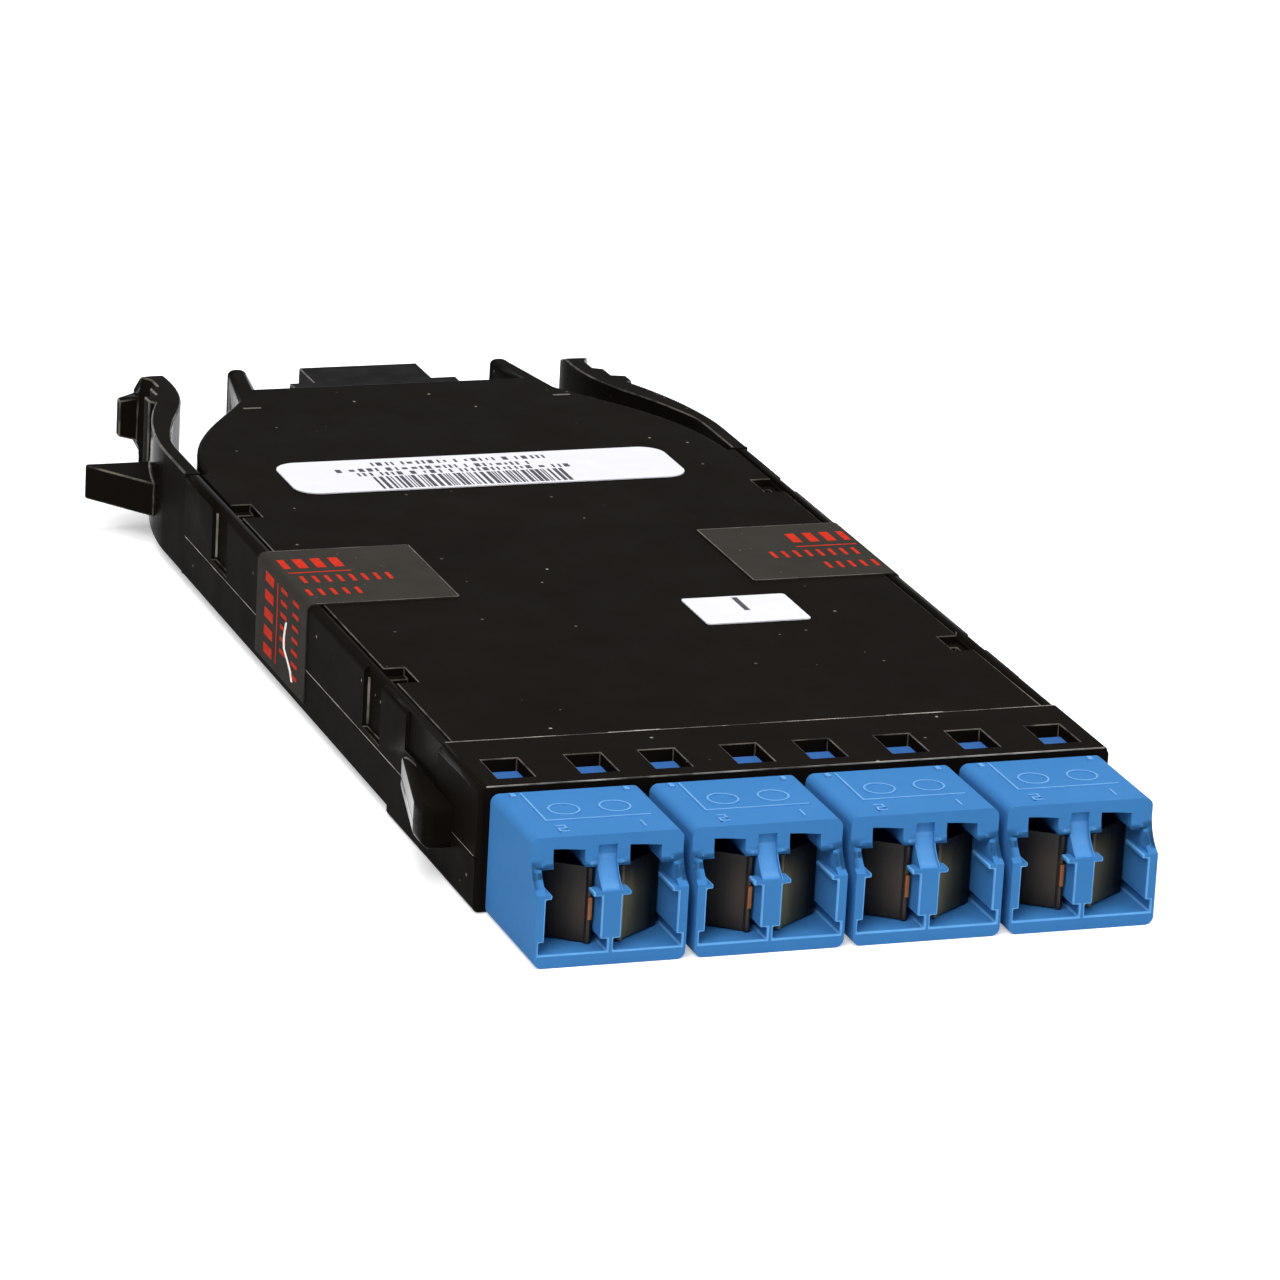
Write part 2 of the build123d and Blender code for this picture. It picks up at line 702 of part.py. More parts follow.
# Multi-fibre adapter: throat through the rear wall, flange against it, keyed port behind
with BuildPart() as mpo_adapter:
    with BuildSketch(Plane.XZ.offset(-MPO_INNER_Y)):
        with Locations((0, MPO_MID_Z)):
            Rectangle(THROAT_W, THROAT_H)
    extrude(amount=MPO_INNER_Y - MPO_Y)
    with BuildSketch(Plane.XZ.offset(-MPO_Y)):
        with Locations((0, MPO_MID_Z)):
            Rectangle(MPO_FLANGE_W, MPO_TOP - MPO_BOTTOM)
    extrude(amount=MPO_Y - MPO_FLANGE_Y)
    with BuildSketch(Plane.XZ.offset(-MPO_FLANGE_Y)):
        with Locations((0, MPO_MID_Z)):
            Rectangle(MPO_W, MPO_TOP - MPO_BOTTOM)
    extrude(amount=MPO_FLANGE_Y - MPO_REAR_Y)
    with BuildSketch(Plane.XZ.offset(-MPO_REAR_Y)):
        with Locations((0, MPO_MID_Z)):
            Rectangle(MPO_PORT_W, MPO_PORT_H)
        with Locations((0, MPO_MID_Z + MPO_PORT_H / 2)):
            Rectangle(MPO_KEY_W, 2 * MPO_KEY_H)
    extrude(amount=MPO_PORT_L, mode=Mode.SUBTRACT)
    with BuildSketch(Plane.XZ.offset(-MPO_INNER_Y)):
        with Locations((0, MPO_MID_Z)):
            Rectangle(MPO_PLUG_W + 2 * MPO_CLEAR, MPO_PLUG_H + 2 * MPO_CLEAR)
    extrude(amount=MPO_INNER_Y - MPO_PLUG_Y - MPO_PLUG_L - MPO_CLEAR, mode=Mode.SUBTRACT)
    with BuildSketch(Plane.XZ.offset(-MPO_INNER_Y)):
        with Locations((0, MPO_MID_Z)):
            Rectangle(FERRULE_W + 2 * MPO_CLEAR, FERRULE_H + 2 * MPO_CLEAR)
    extrude(amount=MPO_INNER_Y - MPO_REAR_Y, mode=Mode.SUBTRACT)
mpo_adapter.part.label = "mpo_adapter"

with BuildPart() as mpo_plug:
    with BuildSketch(Plane.XZ.offset(-MPO_PLUG_Y)):
        with Locations((0, MPO_MID_Z)):
            Rectangle(MPO_PLUG_W, MPO_PLUG_H)
    extrude(amount=-MPO_PLUG_L)
    with BuildSketch(Plane.XZ.offset(-MPO_PLUG_Y)):
        with Locations((0, MPO_MID_Z)):
            Rectangle(MPO_BOOT_W, MPO_BOOT_H)
    extrude(amount=MPO_BOOT_L)
    with BuildSketch(Plane.XZ.offset(-MPO_PLUG_Y - MPO_PLUG_L)):
        with Locations((0, MPO_MID_Z)):
            Rectangle(FERRULE_W, FERRULE_H)
    extrude(amount=-FERRULE_OUT)
mpo_plug.part.label = "mpo_plug"

with BuildPart() as rear_label:
    with BuildSketch(Plane.XY.offset(PLATE_Z)):
        with Locations((0, ROOT_Y - REAR_LABEL_L)):
            RectangleRounded(*REAR_LABEL, REAR_LABEL_R)
    extrude(amount=FILM)
rear_label.part.label = "rear_label"

with BuildPart() as port_label:
    with BuildSketch(Plane.XY.offset(PLATE_Z)):
        with Locations((PORT_LABEL_X, PORT_LABEL_Y)):
            RectangleRounded(*PORT_LABEL, PORT_LABEL_R)
    extrude(amount=FILM)
port_label.part.label = "port_label"

tamper_tape_left = make_tape(-1, "tamper_tape_left")
tamper_tape_right = make_tape(1, "tamper_tape_right")

os.makedirs("parts", exist_ok=True)
pieces = [top_cover.part, bottom_tray.part, latch_lever_left, latch_lever_right]
pieces += adapters + leaves + plugs
pieces += [mpo_adapter.part, mpo_plug.part, rear_label.part, port_label.part]
pieces += [tamper_tape_left, tamper_tape_right]
for piece in pieces:
    export_step(piece.moved(TO_ORIGIN), f"parts/{piece.label}.step")
fibre_group = Compound(label="fibres", children=[fibre.moved(TO_ORIGIN) for fibre in fibres])
export_step(fibre_group, "parts/fibres.step")
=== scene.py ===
import math
import random

import bmesh
import bpy
from mathutils import Matrix, Vector


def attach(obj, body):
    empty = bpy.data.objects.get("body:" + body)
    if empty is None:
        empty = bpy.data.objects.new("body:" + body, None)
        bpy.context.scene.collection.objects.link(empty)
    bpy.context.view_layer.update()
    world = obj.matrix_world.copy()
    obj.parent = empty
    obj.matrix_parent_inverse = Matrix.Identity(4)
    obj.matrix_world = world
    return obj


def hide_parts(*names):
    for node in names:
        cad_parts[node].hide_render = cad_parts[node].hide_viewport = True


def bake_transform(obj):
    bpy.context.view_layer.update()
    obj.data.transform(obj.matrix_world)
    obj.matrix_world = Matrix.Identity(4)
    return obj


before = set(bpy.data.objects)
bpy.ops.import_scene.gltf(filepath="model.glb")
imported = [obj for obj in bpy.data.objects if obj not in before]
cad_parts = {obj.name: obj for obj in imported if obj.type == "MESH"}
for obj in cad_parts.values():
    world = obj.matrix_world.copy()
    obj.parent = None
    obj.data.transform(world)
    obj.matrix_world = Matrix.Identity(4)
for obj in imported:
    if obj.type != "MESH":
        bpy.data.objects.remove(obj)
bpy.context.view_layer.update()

MM = 0.001
FRONT_EDGE_Y = -54.45
BASE = "housing"

# Places on the object, in millimetres, with y counted from the cover's front edge
PLATE_Z = 10.35
HALF_W = 26.75
ADAPTER_COUNT = 4
ADAPTER_PITCH = 13.15
ADAPTER_TOP = 10.1
PORT_PITCH = 6.25
PORT_COUNT = 2 * ADAPTER_COUNT
LEAF_PIN_X = 1.83
LEAF_PIN_Y = -10.5
SIDES = ((-1, "left"), (1, "right"))


def at(x, y, z):
    """A place on the object, in metres."""
    return Vector((x, y + FRONT_EDGE_Y, z)) * MM


def adapter_x(index):
    """The middle of an adapter, counted from 0 at the left."""
    return (index - (ADAPTER_COUNT - 1) / 2) * ADAPTER_PITCH


# Camera: angles in degrees, lengths in millimetres ----------------------------------
CAMERA_AZIMUTH = -20.09
CAMERA_ELEVATION = 18.02
CAMERA_ROLL = 3.2
CAMERA_DISTANCE = 573.76
CAMERA_TARGET = (0, 40, 5.1)
CAMERA_SLIDE = (0.61, 2.93)
LENS = 190.14
SENSOR = 36.0
FAR_CLIP = 20


def make_camera():
    """A long lens in front of the left corner, which looks down on the cover."""
    az, el = math.radians(CAMERA_AZIMUTH), math.radians(CAMERA_ELEVATION)
    roll = math.radians(CAMERA_ROLL)
    back = Vector((math.sin(az) * math.cos(el), -math.cos(az) * math.cos(el), math.sin(el)))
    right = Vector((math.cos(az), math.sin(az), 0))
    up = back.cross(right)
    across = right * math.cos(roll) + up * math.sin(roll)
    upward = up * math.cos(roll) - right * math.sin(roll)
    camera = bpy.data.objects.new("camera", bpy.data.cameras.new("camera"))
    camera.data.lens = LENS
    camera.data.sensor_width = SENSOR
    camera.data.clip_end = FAR_CLIP
    place = at(*CAMERA_TARGET) + back * CAMERA_DISTANCE * MM
    place += (across * CAMERA_SLIDE[0] + upward * CAMERA_SLIDE[1]) * MM
    turn = Matrix((across, upward, back)).transposed().to_4x4()
    camera.matrix_world = Matrix.Translation(place) @ turn
    bpy.context.scene.collection.objects.link(camera)
    bpy.context.scene.camera = camera


# Materials --------------------------------------------------------------------------
def srgb(red, green, blue):
    """A colour given as 8-bit screen values, as linear light."""
    parts = []
    for value in (red, green, blue):
        share = value / 255
        parts.append(share / 12.92 if share <= 0.04045 else ((share + 0.055) / 1.055) ** 2.4)
    return (*parts, 1.0)


class Shader:
    """A material with one Principled shader, and short calls to add nodes to it."""

    def __init__(self, name, roughness, specular=0.5):
        self.material = bpy.data.materials.new(name)
        self.material.use_nodes = True
        self.nodes = self.material.node_tree.nodes
        self.links = self.material.node_tree.links
        self.shader = self.nodes["Principled BSDF"]
        self.shader.inputs["Roughness"].default_value = roughness
        self.shader.inputs["Specular IOR Level"].default_value = specular
        self.place = self.nodes.new("ShaderNodeTexCoord").outputs["Object"]

    def noise(self, scale, detail, stretch=(1, 1, 1)):
        mapping = self.nodes.new("ShaderNodeMapping")
        mapping.inputs["Scale"].default_value = stretch
        self.links.new(self.place, mapping.inputs["Vector"])
        node = self.nodes.new("ShaderNodeTexNoise")
        node.inputs["Scale"].default_value = scale
        node.inputs["Detail"].default_value = detail
        self.links.new(mapping.outputs["Vector"], node.inputs["Vector"])
        return node.outputs["Fac"]

    def cells(self, scale):
        node = self.nodes.new("ShaderNodeTexVoronoi")
        node.inputs["Scale"].default_value = scale
        self.links.new(self.place, node.inputs["Vector"])
        return node.outputs["Distance"]

    def grazing(self):
        """How far a face turns away from the eye, from 0 to 1, for its gloss."""
        return self.nodes.new("ShaderNodeLayerWeight").outputs["Facing"]

    def span(self, value, low, high, out_low, out_high):
        node = self.nodes.new("ShaderNodeMapRange")
        for name, number in (
            ("From Min", low),
            ("From Max", high),
            ("To Min", out_low),
            ("To Max", out_high),
        ):
            node.inputs[name].default_value = number
        self.links.new(value, node.inputs["Value"])
        return node.outputs["Result"]

    def times(self, first, second):
        node = self.nodes.new("ShaderNodeMath")
        node.operation = "MULTIPLY"
        self.links.new(first, node.inputs[0])
        self.links.new(second, node.inputs[1])
        return node.outputs["Value"]

    def mix(self, factor, first, second):
        node = self.nodes.new("ShaderNodeMix")
        node.data_type = "RGBA"
        self.links.new(factor, node.inputs["Factor"])
        for socket, colour in ((node.inputs[6], first), (node.inputs[7], second)):
            if isinstance(colour, tuple):
                socket.default_value = colour
            else:
                self.links.new(colour, socket)
        return node.outputs[2]

    def colour(self, value):
        self.links.new(value, self.shader.inputs["Base Color"])

    def rough(self, value):
        self.links.new(value, self.shader.inputs["Roughness"])

    def bump(self, height, distance, strength):
        node = self.nodes.new("ShaderNodeBump")
        node.inputs["Distance"].default_value = distance
        node.inputs["Strength"].default_value = strength
        self.links.new(height, node.inputs["Height"])
        self.links.new(node.outputs["Normal"], self.shader.inputs["Normal"])


def black_plastic():
    """Moulded black plastic: matt seen square on, glossy when grazed, with settled dust."""
    made = Shader("black_plastic", 0.4, 0.002)
    shade = made.mix(made.noise(90, 4), srgb(15, 12, 9), srgb(22, 19, 15))
    speck = made.span(made.cells(420), 0.035, 0.075, 1.0, 0.0)
    patch = made.span(made.noise(170, 1), 0.47, 0.6, 0.0, 0.9)
    made.colour(made.mix(made.times(speck, patch), shade, srgb(176, 164, 150)))
    uneven = made.span(made.noise(240, 5), 0.3, 0.7, 0.85, 1.1)
    made.rough(made.times(uneven, made.span(made.grazing(), 0.74, 0.86, 0.42, 0.05)))
    made.bump(made.noise(9000, 2), 0.00002, 0.5)
    return made.material


def black_edge():
    """The same plastic along its rounded and shiny edges, painted paler as a painted
    highlight.
    """
    made = Shader("black_edge", 0.28, 0.06)
    # Painted highlight: the edge colour runs between dark and pale grey in blotches.
    painted_highlight_blotches = made.span(made.noise(420, 3), 0.35, 0.65, 0.0, 1.0)
    made.colour(made.mix(painted_highlight_blotches, srgb(26, 23, 20), srgb(98, 92, 83)))
    made.rough(made.span(made.noise(900, 3), 0.3, 0.7, 0.2, 0.36))
    return made.material


def black_gloss():
    """A polished black face, which mirrors the floor when it is grazed."""
    made = Shader("black_gloss", 0.1, 0.9)
    made.colour(made.mix(made.noise(200, 3), srgb(20, 17, 14), srgb(34, 31, 27)))
    made.rough(made.span(made.noise(500, 3), 0.3, 0.7, 0.05, 0.14))
    return made.material


def bright_edge():
    """A moulded line or crease where the black plastic or film catches the light, painted
    pale grey in blotches as a painted highlight.
    """
    made = Shader("bright_edge", 0.25, 0.15)
    # Painted highlight: blotches between dark and pale grey.
    painted_highlight_blotches = made.span(made.noise(330, 3), 0.35, 0.65, 0.0, 1.0)
    made.colour(made.mix(painted_highlight_blotches, srgb(70, 65, 58), srgb(176, 169, 157)))
    return made.material


def film_glare():
    """A wrinkle in the film, painted almost white as a painted highlight."""
    made = Shader("film_glare", 0.2, 0.5)
    made.colour(made.mix(made.noise(900, 2), srgb(222, 218, 210), srgb(244, 242, 238)))
    return made.material


def adapter_black():
    """The rear adapter's black plastic, a little duller than the housing."""
    made = Shader("adapter_black", 0.5, 0.01)
    made.colour(made.mix(made.noise(160, 3), srgb(14, 13, 13), srgb(24, 23, 23)))
    made.rough(made.span(made.noise(500, 4), 0.3, 0.7, 0.42, 0.58))
    made.bump(made.noise(7000, 2), 0.00002, 0.5)
    return made.material


def blue_plastic():
    """Moulded blue plastic with a satin surface and faint flow shading."""
    made = Shader("blue_plastic", 0.36, 0.003)
    made.shader.inputs["Subsurface Weight"].default_value = 0.06
    made.shader.inputs["Subsurface Radius"].default_value = (0.0004, 0.0008, 0.0015)
    made.colour(made.mix(made.noise(110, 4), srgb(57, 115, 172), srgb(65, 125, 183)))
    made.rough(made.span(made.noise(700, 4), 0.3, 0.7, 0.3, 0.42))
    made.bump(made.noise(8000, 2), 0.00002, 0.4)
    return made.material


def blue_gloss():
    """The blue plastic on the polished curve between the two plug ways, glossier and painted
    a little paler as a painted highlight.
    """
    made = Shader("blue_gloss", 0.24, 0.25)
    made.colour(made.mix(made.noise(200, 3), srgb(66, 130, 190), srgb(76, 140, 200)))
    made.rough(made.span(made.noise(700, 3), 0.3, 0.7, 0.2, 0.3))
    return made.material


def blue_shade():
    """The blue plastic where it lies deep in the cover's windows, painted darker as painted
    shade.
    """
    made = Shader("blue_shade", 0.5, 0.01)
    made.colour(made.mix(made.noise(400, 3), srgb(44, 86, 144), srgb(54, 100, 160)))
    return made.material


def blue_edge():
    """The blue plastic along its rounded edges, a touch paler as a painted highlight."""
    made = Shader("blue_edge", 0.3, 0.08)
    made.colour(made.mix(made.noise(500, 3), srgb(80, 144, 204), srgb(108, 170, 222)))
    return made.material


def port_painted_shade():
    """The deep back wall of a port, painted brown-black as painted shade."""
    made = Shader("port_painted_shade", 0.6, 0.02)
    made.colour(made.mix(made.noise(500, 3), srgb(26, 21, 18), srgb(44, 37, 31)))
    return made.material


# Painted shade on a leaf: where it starts to darken and where it is dark, along the port and
# up it
LEAF_SHADE_DEPTH = (-10.2, -8.3)
LEAF_SHADE_HEIGHT = (4.8, 7.0)


def bronze_leaf(name, dark, light):
    """Rolled bronze strip with fine upright lines, painted dark at its free end and its top
    as painted shade.
    """
    made = Shader(name, 0.45)
    made.shader.inputs["Metallic"].default_value = 0.5
    lines = made.noise(2600, 3, (1, 1, 0.05))
    split = made.nodes.new("ShaderNodeSeparateXYZ")
    made.links.new(made.place, split.inputs["Vector"])
    near, far = (at(0, y, 0).y for y in LEAF_SHADE_DEPTH)
    inwards = made.span(split.outputs["Y"], near, far, 1.0, 0.0)
    upwards = made.span(split.outputs["Z"], LEAF_SHADE_HEIGHT[0] * MM, LEAF_SHADE_HEIGHT[1] * MM, 1.0, 0.0)
    # Painted shade: the leaf darkens deeper in the port and towards its top.
    unshaded = made.times(inwards, upwards)
    made.colour(made.mix(unshaded, srgb(18, 15, 12), made.mix(lines, dark, light)))
    made.rough(made.span(lines, 0.3, 0.7, 0.35, 0.55))
    made.bump(lines, 0.00001, 0.5)
    return made.material


def copper():
    """The bright rolled edge of a leaf."""
    made = Shader("copper", 0.35)
    made.shader.inputs["Metallic"].default_value = 0.7
    made.colour(made.mix(made.noise(1800, 3), srgb(138, 78, 44), srgb(178, 112, 66)))
    return made.material


def inner_plastic():
    """Pale plastic of the plugs inside the housing."""
    made = Shader("inner_plastic", 0.5)
    made.colour(made.mix(made.noise(600, 3), srgb(146, 146, 144), srgb(166, 166, 163)))
    return made.material


def fibre_coat():
    """Aqua buffer coat of the fibres."""
    made = Shader("fibre_coat", 0.4)
    made.colour(made.mix(made.noise(900, 2), srgb(60, 168, 172), srgb(84, 190, 190)))
    return made.material


def label_paper():
    """Coated white label stock with a faint tooth."""
    made = Shader("label_paper", 0.5, 0.03)
    made.colour(made.mix(made.noise(500, 4), srgb(216, 216, 222), srgb(228, 227, 233)))
    made.bump(made.noise(3000, 3), 0.00001, 0.4)
    return made.material


def label_ink():
    """Printed ink on the labels, slightly uneven."""
    made = Shader("label_ink", 0.55, 0.03)
    made.colour(made.mix(made.noise(2500, 3), srgb(52, 52, 56), srgb(92, 92, 98)))
    return made.material


def tape_film():
    """Dark glossy seal film that doesn't lie quite flat, with dust caught on it."""
    made = Shader("tape_film", 0.45, 0.003)
    shade = made.mix(made.noise(120, 4), srgb(46, 44, 40), srgb(58, 55, 50))
    speck = made.span(made.cells(900), 0.04, 0.09, 1.0, 0.0)
    patch = made.span(made.noise(300, 1), 0.5, 0.62, 0.0, 0.5)
    made.colour(made.mix(made.times(speck, patch), shade, srgb(150, 146, 138)))
    made.rough(made.span(made.noise(300, 4), 0.3, 0.7, 0.36, 0.55))
    made.bump(made.noise(260, 3), 0.0002, 0.3)
    return made.material


def tape_red():
    """Red print under the gloss of the seal film."""
    made = Shader("tape_red", 0.5, 0.005)
    made.colour(made.mix(made.noise(1500, 3), srgb(170, 40, 26), srgb(214, 56, 36)))
    return made.material


BACKGROUND_RAYS = ("Is Camera Ray", "Is Transmission Ray", "Is Glossy Ray")


def background_seen(nodes, links):
    """1 for the rays that show the background, and 0 for those that light the object."""
    path = nodes.new("ShaderNodeLightPath")
    seen = path.outputs[BACKGROUND_RAYS[0]]
    for name in BACKGROUND_RAYS[1:]:
        either = nodes.new("ShaderNodeMath")
        either.operation = "MAXIMUM"
        links.new(seen, either.inputs[0])
        links.new(path.outputs[name], either.inputs[1])
        seen = either.outputs["Value"]
    return seen


FLOOR_LIFT = 0.42
FLOOR_PAINT = (0.86, 0.86, 0.86, 1)


def white_floor():
    """Pale studio floor: it reads as white to the camera and keeps the shadow."""
    material = bpy.data.materials.new("white_floor")
    material.use_nodes = True
    nodes = material.node_tree.nodes
    links = material.node_tree.links
    nodes.clear()
    seen = background_seen(nodes, links)
    glow = nodes.new("ShaderNodeEmission")
    lift = nodes.new("ShaderNodeMath")
    lift.operation = "MULTIPLY"
    lift.inputs[1].default_value = FLOOR_LIFT
    links.new(seen, lift.inputs[0])
    links.new(lift.outputs["Value"], glow.inputs["Strength"])
    paint = nodes.new("ShaderNodeBsdfDiffuse")
    paint.inputs["Color"].default_value = FLOOR_PAINT
    both = nodes.new("ShaderNodeAddShader")
    links.new(glow.outputs["Emission"], both.inputs[0])
    links.new(paint.outputs["BSDF"], both.inputs[1])
    out = nodes.new("ShaderNodeOutputMaterial")
    links.new(both.outputs["Shader"], out.inputs["Surface"])
    return material


# Mesh helpers -----------------------------------------------------------------------
def finish_mesh(name, mesh_data, material, body=BASE):
    """Turns a bmesh into a piece of the object. It rides on a body, if one is given."""
    bmesh.ops.recalc_face_normals(mesh_data, faces=mesh_data.faces)
    mesh = bpy.data.meshes.new(name)
    mesh_data.to_mesh(mesh)
    mesh_data.free()
    mesh.materials.append(material)
    piece = bpy.data.objects.new(name, mesh)
    bpy.context.scene.collection.objects.link(piece)
    if body:
        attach(piece, body)
    return piece


def add_box(mesh_data, low, high):
    """A closed box between two corners on the object, in millimetres."""
    a, b = at(*low), at(*high)
    corners = [
        mesh_data.verts.new((x, y, z))
        for x in (a.x, b.x)
        for y in (a.y, b.y)
        for z in (a.z, b.z)
    ]
    for face in (
        (0, 1, 3, 2),
        (4, 6, 7, 5),
        (0, 4, 5, 1),
        (2, 3, 7, 6),
        (0, 2, 6, 4),
        (1, 5, 7, 3),
    ):
        mesh_data.faces.new([corners[i] for i in face])


def add_side_box(mesh_data, side, xs, ys, zs):
    """A box on the left or right half, with its x counted outwards from the middle."""
    left, right = sorted(side * x for x in xs)
    add_box(mesh_data, (left, ys[0], zs[0]), (right, ys[1], zs[1]))


def add_ring(mesh_data, centre, outer, inner, low, high, steps=32):
    """A flat upright ring on a level surface, in millimetres."""
    loops = []
    for radius, z in ((outer, low), (outer, high), (inner, high), (inner, low)):
        loop = []
        for step in range(steps):
            angle = 2 * math.pi * step / steps
            spot = at(
                centre[0] + radius * math.cos(angle), centre[1] + radius * math.sin(angle), z
            )
            loop.append(mesh_data.verts.new(spot))
        loops.append(loop)
    for ring, after in zip(loops, loops[1:] + loops[:1]):
        for step in range(steps):
            turn = (step + 1) % steps
            mesh_data.faces.new((ring[step], ring[turn], after[turn], after[step]))


NUMERAL_SHAPE = 0.27
STROKE_STEP = 0.004


def numeral_strokes(digit, half, wide):
    """The straight strokes of a plain 1 or 2, from its middle."""
    if digit == "1":
        return [((0, -half), (0, half))]
    return [
        ((-wide, half), (wide, half)),
        ((wide, 0), (wide, half)),
        ((-wide, 0), (wide, 0)),
        ((-wide, -half), (-wide, 0)),
        ((-wide, -half), (wide, -half)),
    ]


def add_digit(mesh_data, digit, centre, height, stroke, low, high):
    """One plain numeral that reads along +X. Each stroke lies a little below the last."""
    strokes = numeral_strokes(digit, height / 2, height * NUMERAL_SHAPE)
    for step, (start, end) in enumerate(strokes):
        xs = sorted(centre[0] + v[0] for v in (start, end))
        ys = sorted(centre[1] + v[1] for v in (start, end))
        add_box(
            mesh_data,
            (xs[0] - stroke / 2, ys[0] - stroke / 2, low),
            (xs[1] + stroke / 2, ys[1] + stroke / 2, high - step * STROKE_STEP),
        )


# Rounded edges ----------------------------------------------------------------------
EDGE_ANGLE = math.radians(38)
SMOOTH_ANGLE = math.radians(42)
FLAT_ANGLE = math.radians(1)
MERGE = 0.002
SAME_LEVEL = 0.01

# How many times a round's width the edges beside it measure at least, and its steps
ROOM = 2.5
STEPS = 2
NOSE_ROOM = 0.5
NOSE_STEPS = 6

# Places and slopes that tell the edges and faces of one feature from the rest
HINGE_X = 24.5
HINGE_Y = 86.2
HINGE_REACH = 0.4
LUG_X = 28.0
LUG_BACK_Y = 10.0
RAMP_X = 26.8
RAMP_END_Y = 20.0
PARTING_Z = 4.6
CURVE_HALF_W = 1.2
CURVE_BACK_Y = -7.0
CURVE_Z = (5.4, 8.8)
CURVE_SIDEWAYS = 0.3
RAMP_LEAN = 0.2
FACING = 0.1
PORT_DEPTH_Y = -8.0
PORT_BACK_Y = -1.2


def deep_in_port(face):
    """Faces at the back of a port, behind its leaf, which take the painted shade."""
    front, back = at(0, PORT_DEPTH_Y, 0).y, at(0, PORT_BACK_Y, 0).y
    return all(front < vert.co.y < back for vert in face.verts)


def port_curve(face):
    """The curved face between the two plug ways, which leans back from the front."""
    middle = face.calc_center_median()
    side = (middle.x / MM / ADAPTER_PITCH) % 1 - 0.5
    return (
        abs(side) * ADAPTER_PITCH < CURVE_HALF_W
        and middle.y < at(0, CURVE_BACK_Y, 0).y
        and CURVE_Z[0] * MM < middle.z < CURVE_Z[1] * MM
        and face.normal.y < -FACING
        and abs(face.normal.x) < CURVE_SIDEWAYS
    )


def edges_with_room(mesh_data, width, wanted, room):
    """Sharp edges that are wanted, long enough for a round, and clear of the shortest."""
    crowded = set()
    for edge in mesh_data.edges:
        if edge.calc_length() < room * width:
            crowded.update(edge.verts)
    chosen = []
    for edge in mesh_data.edges:
        if len(edge.link_faces) != 2 or edge.calc_face_angle(0) < EDGE_ANGLE:
            continue
        if not crowded.intersection(edge.verts) and wanted(edge):
            chosen.append(edge)
    return chosen


def round_edges(mesh_data, width, wanted, room, steps, index):
    """Rounds the wanted edges, and gives the rounds the material of that index."""
    bmesh.ops.bevel(
        mesh_data,
        geom=edges_with_room(mesh_data, width * MM, wanted, room),
        offset=width * MM,
        offset_type="OFFSET",
        segments=steps,
        profile=0.5,
        affect="EDGES",
        clamp_overlap=True,
        material=index,
    )


def off_the_hinge(edge):
    """Leaves the joint between the housing and a lever sharp, so that it stays shut."""
    hinge_y = at(0, HINGE_Y, 0).y
    return not all(
        abs(vert.co.x) > HINGE_X * MM and abs(vert.co.y - hinge_y) < HINGE_REACH * MM
        for vert in edge.verts
    )


def lug_nose(edge):
    """The corners and edges of a stop lug, apart from those where its two halves meet."""
    first, second = (vert.co for vert in edge.verts)
    if all(abs(spot.z - PARTING_Z * MM) < SAME_LEVEL * MM for spot in (first, second)):
        return False
    outermost = max(abs(first.x), abs(second.x))
    return outermost > LUG_X * MM and min(first.y, second.y) < at(0, LUG_BACK_Y, 0).y


def lug_ramp(face):
    """The long sloping side of a stop lug."""
    middle = face.calc_center_median()
    return (
        middle.y < at(0, RAMP_END_Y, 0).y
        and abs(middle.x) > RAMP_X * MM
        and face.normal.y > FACING
        and face.normal.x * middle.x > 0
        and abs(face.normal.z) < RAMP_LEAN
    )


def soften(node, materials, width, body=BASE, nose=0.0, picks=()):
    """Stands in for a CAD node: the same shape with small rounds along its edges.

    The first material is the faces', the second the rounds', and each one after that
    belongs to the faces that the next of the picks chooses.
    """
    mesh_data = bmesh.new()
    mesh_data.from_mesh(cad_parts[node].data)
    for face in mesh_data.faces:
        face.material_index = 0
    bmesh.ops.remove_doubles(mesh_data, verts=mesh_data.verts, dist=MERGE * MM)
    bmesh.ops.dissolve_limit(
        mesh_data, angle_limit=FLAT_ANGLE, verts=mesh_data.verts, edges=mesh_data.edges
    )
    if nose:
        round_edges(mesh_data, nose, lug_nose, NOSE_ROOM, NOSE_STEPS, 0)
    round_edges(mesh_data, width, off_the_hinge, ROOM, STEPS, 1)
    for index, wanted in enumerate(picks, 2):
        for face in mesh_data.faces:
            if wanted(face):
                face.material_index = index
    mesh = bpy.data.meshes.new(f"{node}_soft")
    mesh_data.to_mesh(mesh)
    mesh_data.free()
    for material in materials:
        mesh.materials.append(material)
    mesh.shade_smooth()
    mesh.set_sharp_from_angle(angle=SMOOTH_ANGLE)
    piece = bpy.data.objects.new(f"{node}_soft", mesh)
    bpy.context.scene.collection.objects.link(piece)
    smooth = piece.modifiers.new("weights", "WEIGHTED_NORMAL")
    smooth.keep_sharp = True
    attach(piece, body)
    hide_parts(node)
    return piece


def paint(node, material):
    """Gives a CAD node that stays its own material."""
    node_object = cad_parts[node]
    node_object.data.materials.clear()
    node_object.data.materials.append(material)


# The object -------------------------------------------------------------------------
BLACK = black_plastic()
# Pale colour for rounds, lips and cut edges: painted highlight.
EDGE = black_edge()
GLOSS = black_gloss()
# Pale colour for the lines along steps, seams and grooves: painted highlight.
BRIGHT = bright_edge()
# Brown-black for the deep port faces: painted shade.
PORT_PAINTED_SHADE = port_painted_shade()
BLUE = blue_plastic()
# Darker blue for the snaps in the windows: painted shade.
BLUE_SHADE = blue_shade()
# Paler, glossier blue for the curve between the plug ways: painted highlight.
BLUE_GLOSS = blue_gloss()
# Paler blue for rounds and roof marks: painted highlight.
BLUE_EDGE = blue_edge()
